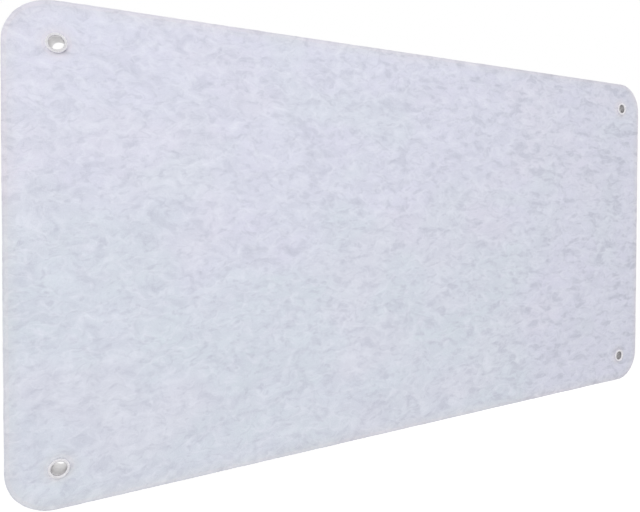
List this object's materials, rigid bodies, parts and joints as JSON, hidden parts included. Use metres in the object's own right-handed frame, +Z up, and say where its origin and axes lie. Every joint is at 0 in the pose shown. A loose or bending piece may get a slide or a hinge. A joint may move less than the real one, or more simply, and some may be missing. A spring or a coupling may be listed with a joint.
{
  "type": "acoustic wall panel",
  "caption": "Flat felt panel with rounded corners that absorbs sound on a wall, hung on hooks or screws through rolled metal eyelets.",
  "frame": {"origin": "centre of the panel's back face, which is the plane of the wall", "axes": "+Z up, +X to the right as seen from the room, +Y into the wall; the front face looks along -Y"},
  "size_m": [1.1, 0.0278, 0.6],
  "materials": {
    "felt": "matte",
    "bond": "satin",
    "nickel": "satin"
  },
  "bodies": {
    "root": {"front_felt_board": "felt", "back_felt_board": "felt", "bonding_web": "bond", "eyelet_sleeve_top_left": "nickel", "eyelet_sleeve_top_right": "nickel", "eyelet_sleeve_bottom_left": "nickel", "eyelet_sleeve_bottom_right": "nickel", "eyelet_washer_top_left": "nickel", "eyelet_washer_top_right": "nickel", "eyelet_washer_bottom_left": "nickel", "eyelet_washer_bottom_right": "nickel"}
  },
  "joints": []
}
